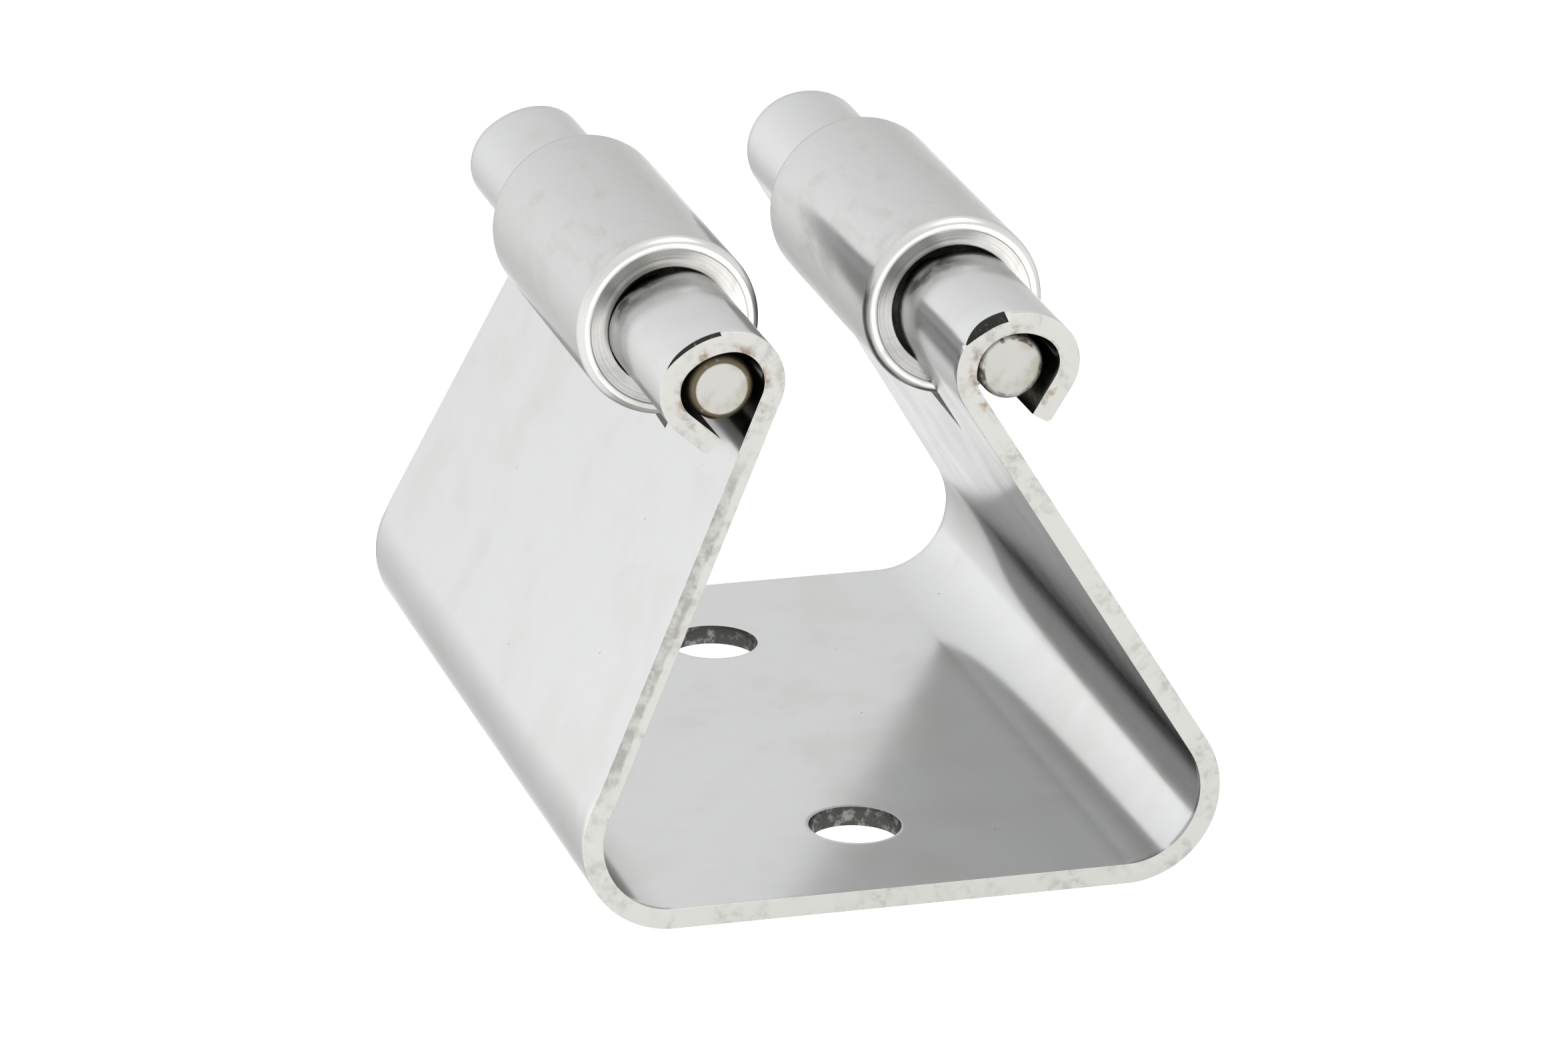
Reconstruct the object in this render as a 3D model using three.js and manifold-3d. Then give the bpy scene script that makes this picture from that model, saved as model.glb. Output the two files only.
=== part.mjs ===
// Twin-roller spring clip: one bent sheet bracket, two rollers and the two pins they turn on.
// Millimetres, +Z up. Origin: centre of the base's underside. The pins run along Y, front is -Y.
import * as THREE from 'three';
import { mergeVertices } from 'three/addons/utils/BufferGeometryUtils.js';
import Module from 'manifold-3d';

const wasm = await Module();
wasm.setup();

// ---- driving dimensions ----
const SHEET = 1.25; // thickness of the bent sheet
const HALF_WIDTH = 19.7; // centre line to the outside of a lower bend
const BASE_DEPTH = 50.3; // base, front edge to rear edge
const EAR_SPAN = 43.6; // front face of the front ears to rear face of the rear ears
const TAPER_FROM_Z = 8.5; // the arms narrow from this height ...
const TAPER_TO_Z = 31; // ... to this one
const BEND_RADIUS = 5.7; // outside of the lower bends
const ARM_LENGTH = 25.9; // straight part of an arm, lower bend to ear
const EAR_RADIUS = 3.8; // outside of a rolled ear, on average
const NOTCH_WIDTH = 21.1; // gap between a front ear and a rear ear
const NOTCH_DROP = 6.0; // notch floor below the start of the ears
const RELIEF_WIDTH = 4.2; // width of the dip in each corner of the floor
const SCREW_HOLE_RADIUS = 2.8;
const SCREW_HOLE_Y = 15.4;

const ROLLER_RADIUS = 5.6;
const ROLLER_LENGTH = 20.5;
const ROLLER_CHAMFER = 0.45;
const ROLLER_RECESS_DEPTH = 3.0; // depth of the wide mouth at each end of the bore
const PIN_RADIUS = 2.0;
const PIN_LENGTH = 42.6;
const PIN_CHAMFER = 0.35;
const PIN_GAP = 0.25; // radial room between a pin and its roller's bore

const ARC_STEP = THREE.MathUtils.degToRad(6);
const ROUND_SIDES = 48;

// One entry per arm. side: -1 left, +1 right. Angles are in degrees, and a heading is measured
// from straight outwards, so 90 is up, 0 is away from the middle and -90 is down. An ear is
// rolled by hand tools, so it is three arcs of slightly different outside radius and a flat tail.
// axle: distance from the middle and height of the pin and the roller on it.
// recess: radius of the mouth at each end of the roller's bore.
// reliefDrop: how deep the corners of the notch's floor are below the start of the ears.
const ARMS = [
  {
    name: 'left',
    side: -1,
    lean: 24.7,
    curl: [{ radius: 3.3, to: 0 }, { radius: 4.9, to: -41 }, { radius: 3.1, to: -139 }],
    tail: 2.45,
    axle: [10.67, 32.18],
    recess: 3.7,
    reliefDrop: 6.2,
    notchY: -0.15,
    pinY: -0.2,
  },
  {
    name: 'right',
    side: 1,
    lean: 32,
    curl: [{ radius: 3.55, to: 18 }, { radius: 4.4, to: -34 }, { radius: 3, to: -121 }],
    tail: 2.6,
    axle: [7.17, 31.85],
    recess: 3.85,
    reliefDrop: 7,
    notchY: 0.35,
    pinY: 0.3,
  },
];

const STEEL = { color: 0xc9cac8, metalness: 1, roughness: 0.18 };
const ROLLER_STEEL = { color: 0xc4c5c2, metalness: 1, roughness: 0.24 };
const PIN_STEEL = { color: 0xb9b7b0, metalness: 1, roughness: 0.3 };

const rad = THREE.MathUtils.degToRad;

// ---- solids and booleans ----
function toSolid(geometry) {
  geometry.deleteAttribute('normal');
  geometry.deleteAttribute('uv');
  const merged = mergeVertices(geometry, 1e-5);
  const vertProperties = new Float32Array(merged.attributes.position.array);
  const triVerts = new Uint32Array(merged.index.array);
  return new wasm.Manifold(new wasm.Mesh({ numProp: 3, vertProperties, triVerts }));
}

function toGeometry(solid) {
  const mesh = solid.getMesh();
  const geometry = new THREE.BufferGeometry();
  geometry.setAttribute('position', new THREE.BufferAttribute(mesh.vertProperties, 3));
  geometry.setIndex(new THREE.BufferAttribute(mesh.triVerts, 1));
  geometry.computeVertexNormals();
  return geometry;
}

function extrude(points, depth) {
  const geometry = new THREE.ExtrudeGeometry(new THREE.Shape(points), { depth, bevelEnabled: false });
  return geometry.translate(0, 0, -depth / 2);
}

// ---- the bent strip, as a walk along its middle line in the X-Z plane ----
// Each step is a straight { length } or an arc { radius, turn }, turn positive to the left.
function walk(start, heading, steps) {
  const stations = [{ point: start.clone(), heading }];
  const forward = (angle) => new THREE.Vector2(Math.cos(angle), Math.sin(angle));
  let here = start.clone();
  for (const step of steps) {
    if (step.length !== undefined) {
      here = here.clone().addScaledVector(forward(heading), step.length);
      stations.push({ point: here, heading });
      continue;
    }
    const sign = Math.sign(step.turn);
    const centre = here.clone().addScaledVector(forward(heading + (sign * Math.PI) / 2), step.radius);
    const count = Math.ceil(Math.abs(step.turn) / ARC_STEP);
    const from = heading;
    for (let i = 1; i <= count; i++) {
      heading = from + (step.turn * i) / count;
      here = centre.clone().addScaledVector(forward(heading - (sign * Math.PI) / 2), step.radius);
      stations.push({ point: here, heading });
    }
  }
  return stations;
}

function armSteps(arm) {
  const headings = [90 + arm.lean, ...arm.curl.map((arc) => arc.to)];
  return [
    { length: HALF_WIDTH - BEND_RADIUS },
    { radius: BEND_RADIUS - SHEET / 2, turn: rad(90 + arm.lean) },
    { length: ARM_LENGTH },
    ...arm.curl.map((arc, i) => ({ radius: arc.radius - SHEET / 2, turn: rad(arc.to - headings[i]) })),
    { length: arm.tail },
  ];
}

// Outline of one half of the section, from the middle of the base out to the ear's tip and back.
function halfOutline(arm) {
  const stations = walk(new THREE.Vector2(0, SHEET / 2), 0, armSteps(arm));
  const offset = ({ point, heading }, distance) => new THREE.Vector2(
    arm.side * (point.x - distance * Math.sin(heading)),
    point.y + distance * Math.cos(heading),
  );
  return {
    inner: stations.map((station) => offset(station, SHEET / 2)),
    outer: stations.map((station) => offset(station, -SHEET / 2)),
  };
}

function bracketSection() {
  const [left, right] = ARMS.map(halfOutline);
  return [
    ...right.outer.slice(1),
    ...right.inner.slice(1).reverse(),
    ...left.inner.slice(1),
    ...left.outer.slice(1).reverse(),
  ];
}

// Where an arm ends and its ear begins: the point on the arm's inner face, the direction
// up the arm and the direction square to it on the outside.
function earFrame(arm) {
  const lean = rad(arm.lean);
  const up = new THREE.Vector3(-arm.side * Math.sin(lean), 0, Math.cos(lean));
  const out = new THREE.Vector3(arm.side * Math.cos(lean), 0, Math.sin(lean));
  const bendCentre = new THREE.Vector3(arm.side * (HALF_WIDTH - BEND_RADIUS), 0, BEND_RADIUS);
  const start = bendCentre.clone().addScaledVector(out, BEND_RADIUS - SHEET).addScaledVector(up, ARM_LENGTH);
  return { up, out, start };
}

// ---- cuts in the bracket ----
function taperCuts() {
  const margin = 3;
  const top = 2 * TAPER_TO_Z;
  return [-1, 1].map((end) => {
    const points = [
      [BASE_DEPTH / 2, TAPER_FROM_Z],
      [BASE_DEPTH / 2 + margin, TAPER_FROM_Z],
      [BASE_DEPTH / 2 + margin, top],
      [EAR_SPAN / 2, top],
      [EAR_SPAN / 2, TAPER_TO_Z],
    ].map(([y, z]) => new THREE.Vector2(end * y, z));
    const wedge = extrude(points, 3 * HALF_WIDTH);
    // Shape X to world Y, shape Y to world Z, depth to world X.
    wedge.applyMatrix4(new THREE.Matrix4().makeBasis(
      new THREE.Vector3(0, 1, 0), new THREE.Vector3(0, 0, 1), new THREE.Vector3(1, 0, 0),
    ));
    return toSolid(wedge);
  });
}

function notchCut(arm) {
  const { up, out, start } = earFrame(arm);
  const half = NOTCH_WIDTH / 2;
  const above = 4 * EAR_RADIUS;
  const thickness = 4 * EAR_RADIUS;
  const inside = SHEET;
  const points = [
    [-half, above],
    [-half, -arm.reliefDrop],
    [-half + RELIEF_WIDTH, -NOTCH_DROP],
    [half - RELIEF_WIDTH, -NOTCH_DROP],
    [half, -arm.reliefDrop],
    [half, above],
  ].map(([y, height]) => new THREE.Vector2(y, height));
  const block = extrude(points, thickness).translate(0, 0, thickness / 2 - inside);
  const across = new THREE.Vector3().crossVectors(up, out);
  block.applyMatrix4(new THREE.Matrix4().makeBasis(across, up, out).setPosition(start.setY(arm.notchY)));
  return toSolid(block);
}

function screwHole(y) {
  const drill = new THREE.CylinderGeometry(SCREW_HOLE_RADIUS, SCREW_HOLE_RADIUS, 4 * SHEET, ROUND_SIDES);
  return toSolid(drill.rotateX(Math.PI / 2).translate(0, y, 0));
}

function springBracket() {
  const strip = extrude(bracketSection(), BASE_DEPTH).rotateX(Math.PI / 2);
  const cuts = [
    ...taperCuts(),
    ...ARMS.map(notchCut),
    screwHole(-SCREW_HOLE_Y),
    screwHole(SCREW_HOLE_Y),
  ];
  return toGeometry(cuts.reduce((solid, cut) => solid.subtract(cut), toSolid(strip)));
}

// ---- turned pieces, spun about Y ----
function turned(profile) {
  return new THREE.LatheGeometry(profile.map(([r, y]) => new THREE.Vector2(r, y)), ROUND_SIDES);
}

function roller(recess) {
  const end = ROLLER_LENGTH / 2;
  const shoulder = end - ROLLER_RECESS_DEPTH;
  const bore = PIN_RADIUS + PIN_GAP;
  return turned([
    [bore, -shoulder],
    [recess, -shoulder],
    [recess, -end],
    [ROLLER_RADIUS - ROLLER_CHAMFER, -end],
    [ROLLER_RADIUS, -end + ROLLER_CHAMFER],
    [ROLLER_RADIUS, end - ROLLER_CHAMFER],
    [ROLLER_RADIUS - ROLLER_CHAMFER, end],
    [recess, end],
    [recess, shoulder],
    [bore, shoulder],
    [bore, -shoulder],
  ]);
}

function pin() {
  const end = PIN_LENGTH / 2;
  return turned([
    [0, -end],
    [PIN_RADIUS - PIN_CHAMFER, -end],
    [PIN_RADIUS, -end + PIN_CHAMFER],
    [PIN_RADIUS, end - PIN_CHAMFER],
    [PIN_RADIUS - PIN_CHAMFER, end],
    [0, end],
  ]);
}

// ---- assembly ----
function piece(name, geometry, finish, place = new THREE.Vector3()) {
  const mesh = new THREE.Mesh(geometry, new THREE.MeshStandardMaterial(finish));
  mesh.name = name;
  mesh.position.copy(place);
  return mesh;
}

const clip = new THREE.Group();
clip.add(piece('spring_bracket', springBracket(), STEEL));
for (const arm of ARMS) {
  const [out, height] = arm.axle;
  const place = (y) => new THREE.Vector3(arm.side * out, y, height);
  clip.add(piece(`${arm.name}_roller`, roller(arm.recess), ROLLER_STEEL, place(arm.notchY)));
  clip.add(piece(`${arm.name}_roller_pin`, pin(), PIN_STEEL, place(arm.pinY)));
}

export default clip;
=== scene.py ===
"""Looks of a twin-roller spring clip: a bent sheet bracket, two rollers and their pins.

Sizes are in millimetres and each mesh is brought to metres as its last step. +Z points up from
the surface the clip is screwed to, the pins run along Y, and the front is -Y.
"""

import logging
import math
from dataclasses import dataclass, field
from enum import Enum

import bmesh
import bpy
from mathutils import Matrix, Vector


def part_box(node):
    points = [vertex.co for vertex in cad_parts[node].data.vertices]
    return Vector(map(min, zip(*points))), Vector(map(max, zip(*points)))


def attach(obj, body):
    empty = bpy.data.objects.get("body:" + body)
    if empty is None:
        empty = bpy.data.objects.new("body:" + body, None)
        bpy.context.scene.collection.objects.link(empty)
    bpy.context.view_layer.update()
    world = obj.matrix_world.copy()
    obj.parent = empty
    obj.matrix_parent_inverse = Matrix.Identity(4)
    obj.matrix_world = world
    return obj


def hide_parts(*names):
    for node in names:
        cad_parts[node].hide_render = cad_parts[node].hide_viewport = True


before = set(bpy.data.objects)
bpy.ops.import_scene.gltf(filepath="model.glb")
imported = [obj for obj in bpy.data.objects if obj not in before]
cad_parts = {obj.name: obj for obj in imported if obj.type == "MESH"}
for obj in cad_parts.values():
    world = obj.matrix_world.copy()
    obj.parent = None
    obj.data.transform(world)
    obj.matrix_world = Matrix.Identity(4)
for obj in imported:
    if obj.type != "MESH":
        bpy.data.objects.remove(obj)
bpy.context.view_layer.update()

MM = 0.001
SAME_PLACE = 1e-4
ALMOST = 1e-3
SHARP_ANGLE = math.radians(38)
Triple = tuple[float, float, float]
Colour = Triple
Pair = tuple[float, float]
log = logging.getLogger("spring_clip")


class Surface(Enum):
    """The kinds of surface on the bracket, in the order of its material slots."""

    FACE = 0
    SHEARED = 1
    GROUND = 2
    PIERCED = 3


class RollerSurface(Enum):
    """The kinds of surface on a roller, in the order of its material slots."""

    TURNED = 0
    CORNER = 1
    FACED = 2
    BORE = 3


# ---- finishes ----


def set_range(
    node: bpy.types.Node,
    low: float,
    high: float,
    at_low: float,
    at_high: float,
) -> bpy.types.NodeSocket:
    """Sets what a Map Range node maps.

    Args:
        node: The node.
        low: Value that gives at_low.
        high: Value that gives at_high.
        at_low: Result at low.
        at_high: Result at high.

    Returns:
        The node's result.
    """
    for name, number in (("From Min", low), ("From Max", high), ("To Min", at_low), ("To Max", at_high)):
        node.inputs[name].default_value = number
    return node.outputs["Result"]


class Bench:
    """Lays out the nodes of one metal finish."""

    glancing: Colour = (0.46, 0.46, 0.455)

    def __init__(self, name: str, centre: Vector | None = None) -> None:
        """Starts a material with a metal shader.

        Args:
            name: The material's name.
            centre: The point in metres that patterns are laid out around; the origin if left out.
        """
        self.material = bpy.data.materials.new(name)
        self.material.use_nodes = True
        self.tree = self.material.node_tree
        self.tree.nodes.clear()
        output = self.tree.nodes.new("ShaderNodeOutputMaterial")
        self.metal = self.tree.nodes.new("ShaderNodeBsdfPrincipled")
        self.join(self.metal.outputs["BSDF"], output.inputs["Surface"])
        place = self.tree.nodes.new("ShaderNodeMapping")
        place.inputs["Scale"].default_value = (1 / MM, 1 / MM, 1 / MM)
        place.inputs["Location"].default_value = (centre or Vector()) * (-1 / MM)
        self.join(self.tree.nodes.new("ShaderNodeTexCoord").outputs["Object"], place.inputs["Vector"])
        self.where = place.outputs["Vector"]

    def join(self, source: bpy.types.NodeSocket, target: bpy.types.NodeSocket) -> None:
        """Links one socket to another."""
        self.tree.links.new(source, target)

    def feed(self, node: bpy.types.Node, socket: int | str, value: object) -> None:
        """Gives an input a link or a constant.

        Args:
            node: The node with the input.
            socket: The input's name or number.
            value: An output socket, a number or a colour.
        """
        if isinstance(value, bpy.types.NodeSocket):
            self.join(value, node.inputs[socket])
        else:
            node.inputs[socket].default_value = value

    def grain(
        self,
        size: float | Triple,
        detail: float = 3.0,
        roughness: float = 0.55,
        distortion: float = 0.0,
    ) -> bpy.types.NodeSocket:
        """Cloudy noise.

        Args:
            size: Size of a patch in millimetres, or one size for each axis.
            detail: Number of finer layers.
            roughness: Strength of the finer layers.
            distortion: How far the patches are drawn out into wisps.

        Returns:
            A value around 0.5.
        """
        noise = self.tree.nodes.new("ShaderNodeTexNoise")
        noise.inputs["Detail"].default_value = detail
        noise.inputs["Roughness"].default_value = roughness
        noise.inputs["Distortion"].default_value = distortion
        source = self.where
        if isinstance(size, tuple):
            stretch = self.tree.nodes.new("ShaderNodeMapping")
            stretch.inputs["Scale"].default_value = tuple(1 / s for s in size)
            self.join(source, stretch.inputs["Vector"])
            source = stretch.outputs["Vector"]
            noise.inputs["Scale"].default_value = 1.0
        else:
            noise.inputs["Scale"].default_value = 1 / size
        self.join(source, noise.inputs["Vector"])
        return noise.outputs["Fac"]

    def specks(self, spacing: float, size: float) -> bpy.types.NodeSocket:
        """Sparse round specks.

        Args:
            spacing: Distance between specks in millimetres.
            size: Radius of a speck as a share of the spacing.

        Returns:
            A value that is 1 in a speck and 0 elsewhere.
        """
        cells = self.tree.nodes.new("ShaderNodeTexVoronoi")
        cells.inputs["Scale"].default_value = 1 / spacing
        self.join(self.where, cells.inputs["Vector"])
        return self.span(cells.outputs["Distance"], size, size * 0.5, 0.0, 1.0)

    def span(
        self,
        value: bpy.types.NodeSocket,
        low: float,
        high: float,
        out_low: float = 0.0,
        out_high: float = 1.0,
    ) -> bpy.types.NodeSocket:
        """Maps a value from one range to another with soft ends, and holds it there.

        Args:
            value: The value to map.
            low: Value that gives out_low.
            high: Value that gives out_high.
            out_low: Result at low.
            out_high: Result at high.

        Returns:
            The mapped value.
        """
        node = self.tree.nodes.new("ShaderNodeMapRange")
        node.interpolation_type = "SMOOTHSTEP"
        self.join(value, node.inputs["Value"])
        return set_range(node, low, high, out_low, out_high)

    def combine(self, operation: str, *values: bpy.types.NodeSocket) -> bpy.types.NodeSocket:
        """Combines values from left to right.

        Args:
            operation: The Math node's operation, such as MULTIPLY.
            values: Two or more values.

        Returns:
            The result.
        """
        result = values[0]
        for value in values[1:]:
            node = self.tree.nodes.new("ShaderNodeMath")
            node.operation = operation
            self.join(result, node.inputs[0])
            self.join(value, node.inputs[1])
            result = node.outputs[0]
        return result

    def blend(self, share: bpy.types.NodeSocket, a: object, b: object) -> bpy.types.NodeSocket:
        """Mixes two colours.

        Args:
            share: 0 for a, 1 for b.
            a: Colour or socket.
            b: Colour or socket.

        Returns:
            The mixed colour.
        """
        node = self.tree.nodes.new("ShaderNodeMix")
        node.data_type = "RGBA"
        self.feed(node, 0, share)
        for number, colour in ((6, a), (7, b)):
            self.feed(node, number, (*colour, 1.0) if isinstance(colour, tuple) else colour)
        return node.outputs[2]

    def ring(self, x: float = 0.0, z: float = 0.0) -> bpy.types.NodeSocket:
        """Distance from an axis along Y; the piece's own axis if no place is given.

        Args:
            x: The axis's x in millimetres.
            z: The axis's z in millimetres.

        Returns:
            The distance in millimetres.
        """
        flat = self.tree.nodes.new("ShaderNodeMapping")
        flat.inputs["Scale"].default_value = (1.0, 0.0, 1.0)
        flat.inputs["Location"].default_value = (-x, 0.0, -z)
        self.join(self.where, flat.inputs["Vector"])
        length = self.tree.nodes.new("ShaderNodeVectorMath")
        length.operation = "LENGTH"
        self.join(flat.outputs["Vector"], length.inputs[0])
        return length.outputs["Value"]

    def along(self, direction: Triple) -> bpy.types.NodeSocket:
        """Distance in millimetres along a direction.

        Args:
            direction: Unit vector.

        Returns:
            The distance from the origin of the pattern.
        """
        node = self.tree.nodes.new("ShaderNodeVectorMath")
        node.operation = "DOT_PRODUCT"
        self.join(self.where, node.inputs[0])
        node.inputs[1].default_value = direction
        return node.outputs["Value"]

    def relief(self, height: bpy.types.NodeSocket, depth: float) -> None:
        """Raises the surface by a pattern.

        Args:
            height: The pattern, 0 to 1.
            depth: Height of the pattern in millimetres.
        """
        bump = self.tree.nodes.new("ShaderNodeBump")
        bump.inputs["Strength"].default_value = 1.0
        bump.inputs["Distance"].default_value = depth * MM
        self.join(height, bump.inputs["Height"])
        previous = self.metal.inputs["Normal"]
        if previous.is_linked:
            self.join(previous.links[0].from_socket, bump.inputs["Normal"])
        self.join(bump.outputs["Normal"], previous)

    def finish(self, colour: object, roughness: object, metallic: float) -> bpy.types.Material:
        """Sets the shader.

        Args:
            colour: Colour or socket.
            roughness: Number or socket.
            metallic: 1 for bare metal, less for a dirty or oxidised one.

        Returns:
            The material.
        """
        self.feed(self.metal, "Base Color", (*colour, 1.0) if isinstance(colour, tuple) else colour)
        self.feed(self.metal, "Roughness", roughness)
        self.metal.inputs["Metallic"].default_value = metallic
        self.metal.inputs["Specular Tint"].default_value = (*self.glancing, 1.0)
        return self.material


@dataclass(frozen=True)
class PolishedSheet:
    """Mill-polished stainless sheet: soft reflections, smudges, specks, and painted shade by the rollers.

    The painted shade is a dark reflection of each roller's mouth, and the shade in the gap, painted on
    the shoulder of a front ear. Pairs are where it starts and where it is full, in millimetres: out
    from an ear's axis, around it, and along the ear from the roller's end.
    """

    colour: Colour = (0.503, 0.507, 0.509)
    smudge: Colour = (0.468, 0.462, 0.448)
    speck: Colour = (0.22, 0.21, 0.19)
    # painted shade: near black, for the roller's dark mouth reflected on the ear and the shade in the gap
    painted_mouth_shade: Colour = (0.05, 0.049, 0.045)
    axles: tuple[Vector, ...] = ()
    shoulder: Triple = (-0.62, 0.0, 0.78)
    painted_mouth_shade_out: Pair = (2.9, 3.5)
    painted_mouth_shade_around: Pair = (5.6, 5.0)
    painted_mouth_shade_along: Pair = (3.0, 0.6)
    ear_start: float = 10.55
    roughness: Pair = (0.16, 0.20)

    def material(self) -> bpy.types.Material:
        """Builds the material: clouds, mottle and specks, then the painted shade by the rollers, then
        faint waviness.

        Returns:
            The material.
        """
        bench = Bench("polished_sheet")
        clouds = bench.grain(6.0, detail=3.0, roughness=0.5)
        mottle = bench.grain(1.6, detail=4.0, roughness=0.6)
        wipes = bench.grain(5.0, detail=2.0)
        specks = bench.specks(2.6, 0.03)
        colour = bench.blend(bench.span(clouds, 0.45, 0.72, 0.0, 0.5), self.colour, self.smudge)
        colour = bench.blend(bench.span(mottle, 0.42, 0.75, 0.0, 0.2), colour, self.smudge)
        colour = bench.blend(specks, colour, self.speck)
        # painted shade and painted dark reflection where each front ear enters its roller's mouth
        for axle in self.axles:
            colour = bench.blend(self.painted_mouth_shade_mask(bench, axle), colour, self.painted_mouth_shade)
        bench.relief(bench.grain(8.0, detail=0.0), 0.005)
        bench.relief(bench.grain(0.5, detail=1.0), 0.0002)
        return bench.finish(colour, bench.span(wipes, 0.3, 0.7, *self.roughness), 1.0)

    def painted_mouth_shade_mask(self, bench: Bench, axle: Vector) -> bpy.types.NodeSocket:
        """Painted shade on the shoulder of a front ear, where it enters the roller's mouth: a painted
        dark reflection of the mouth, and the shade in the gap.

        Args:
            bench: The material's bench.
            axle: A point on the ear's axis, in millimetres.

        Returns:
            How strong the painted shade is, 0 to 1.
        """
        centre = axle.dot(Vector(self.shoulder))
        forward = bench.along((0.0, -1.0, 0.0))
        return bench.combine(
            "MULTIPLY",
            bench.span(bench.along(self.shoulder), *(centre + reach for reach in self.painted_mouth_shade_out)),
            bench.span(bench.ring(axle.x, axle.z), *self.painted_mouth_shade_around),
            bench.span(forward, *(self.ear_start + reach for reach in self.painted_mouth_shade_along)),
            bench.span(forward, self.ear_start - 0.5, self.ear_start - 0.3),
            bench.span(bench.grain(1.1), 0.38, 0.6, 0.25, 0.85),
        )


@dataclass(frozen=True)
class ShearedEdge:
    """Edge left by the shear: satin, warm grey, mottled, and torn along the outside of one arm.

    The torn zone lies at the given distances from the arm's outer face and between two heights,
    with a soft start and end. Stains lie around the pins.
    """

    outward: Triple
    outside: float
    axles: tuple[Vector, ...]
    colour: Colour = (0.435, 0.432, 0.41)
    worn: Colour = (0.34, 0.335, 0.316)
    torn: Colour = (0.245, 0.242, 0.23)
    stain: Colour = (0.19, 0.12, 0.06)
    torn_depth: Pair = (0.85, 0.6)
    torn_bottom: Pair = (8.0, 10.5)
    torn_top: Pair = (29.0, 26.0)
    stain_reach: Pair = (3.1, 2.6)
    roughness: Pair = (0.42, 0.52)

    def material(self) -> bpy.types.Material:
        """Builds the material: wear, then the torn zone, then the stains.

        Returns:
            The material.
        """
        bench = Bench("sheared_edge")
        mottle = bench.grain(0.7, detail=4.0, roughness=0.65)
        patches = bench.grain(2.3, detail=3.0, distortion=0.6)
        worn = bench.combine("MULTIPLY", bench.span(mottle, 0.42, 0.66), bench.span(patches, 0.42, 0.62))
        colour = bench.blend(worn, self.colour, self.worn)
        ragged = bench.combine("ADD", bench.along(self.outward), bench.span(patches, 0.3, 0.7, -0.12, 0.12))
        height = bench.along((0.0, 0.0, 1.0))
        torn = bench.combine(
            "MULTIPLY",
            bench.span(height, *self.torn_bottom),
            bench.span(height, *self.torn_top, 0.0, 0.85),
            bench.span(ragged, *(self.outside - depth for depth in self.torn_depth)),
            bench.span(mottle, 0.35, 0.6, 0.35, 1.0),
        )
        colour = bench.blend(torn, colour, self.torn)
        for axle in self.axles:
            near = bench.span(bench.ring(axle.x, axle.z), *self.stain_reach, 0.0, 0.8)
            tinted = bench.combine("MULTIPLY", near, bench.span(bench.grain(1.1), 0.45, 0.62))
            colour = bench.blend(tinted, colour, self.stain)
        bench.relief(mottle, 0.02)
        bench.relief(bench.grain(0.16, detail=2.0), 0.006)
        return bench.finish(colour, bench.span(patches, 0.3, 0.7, *self.roughness), 0.75)


@dataclass(frozen=True)
class GroundNick:
    """Corner ground off: rough oxide, with painted shade and painted dark reflection in its near-black
    colour.
    """

    # near black: partly oxide, partly painted shade and painted dark reflection on the rough ground corner
    colour: Colour = (0.012, 0.0115, 0.01)
    bright: Colour = (0.12, 0.115, 0.10)
    roughness: Pair = (0.35, 0.5)

    def material(self) -> bpy.types.Material:
        """Builds the material, streaked along the ear.

        Returns:
            The material.
        """
        bench = Bench("ground_nick_painted_shade")
        streaks = bench.grain((0.22, 1.2, 0.22), detail=3.0)
        colour = bench.blend(bench.span(streaks, 0.56, 0.8), self.colour, self.bright)
        bench.relief(streaks, 0.02)
        return bench.finish(colour, bench.span(streaks, 0.3, 0.7, *self.roughness), 0.6)


@dataclass(frozen=True)
class PiercedWall:
    """Wall of a hole: dark, torn, with a few bright scuffs."""

    colour: Colour = (0.07, 0.069, 0.064)
    scuff: Colour = (0.30, 0.295, 0.28)
    roughness: Pair = (0.32, 0.5)

    def material(self, name: str) -> bpy.types.Material:
        """Builds the material.

        Args:
            name: The material's name.

        Returns:
            The material.
        """
        bench = Bench(name)
        torn = bench.grain(0.8, detail=5.0, roughness=0.65)
        colour = bench.blend(bench.span(torn, 0.48, 0.68), self.colour, self.scuff)
        bench.relief(torn, 0.05)
        return bench.finish(colour, bench.span(torn, 0.3, 0.7, *self.roughness), 0.85)


@dataclass(frozen=True)
class TurnedSteel:
    """Stainless turned on a lathe and tumbled: faint tool marks and smears."""

    colour: Colour = (0.465, 0.467, 0.464)
    smear: Colour = (0.42, 0.42, 0.41)
    roughness: Pair = (0.16, 0.24)

    def material(self, name: str, centre: Vector) -> bpy.types.Material:
        """Builds the material.

        Args:
            name: The material's name.
            centre: A point on the roller's axis, in metres.

        Returns:
            The material.
        """
        bench = Bench(name, centre)
        smears = bench.grain((2.2, 5.5, 2.2), detail=5.0, roughness=0.6, distortion=0.6)
        colour = bench.blend(bench.span(smears, 0.48, 0.75), self.colour, self.smear)
        bench.relief(self.rings(bench, 0.11), 0.006)
        bench.relief(bench.grain(0.3, detail=2.0), 0.0008)
        return bench.finish(colour, bench.span(smears, 0.35, 0.7, *self.roughness), 1.0)

    @staticmethod
    def rings(bench: Bench, spacing: float) -> bpy.types.NodeSocket:
        """Uneven rings around the piece's own axis.

        Args:
            bench: The material's bench.
            spacing: Distance between rings in millimetres.

        Returns:
            The pattern, 0 to 1.
        """
        noise = bench.tree.nodes.new("ShaderNodeTexNoise")
        noise.noise_dimensions = "1D"
        noise.inputs["Scale"].default_value = 1 / spacing
        noise.inputs["Detail"].default_value = 2.0
        bench.join(bench.ring(), noise.inputs["W"])
        return noise.outputs["Fac"]


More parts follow.
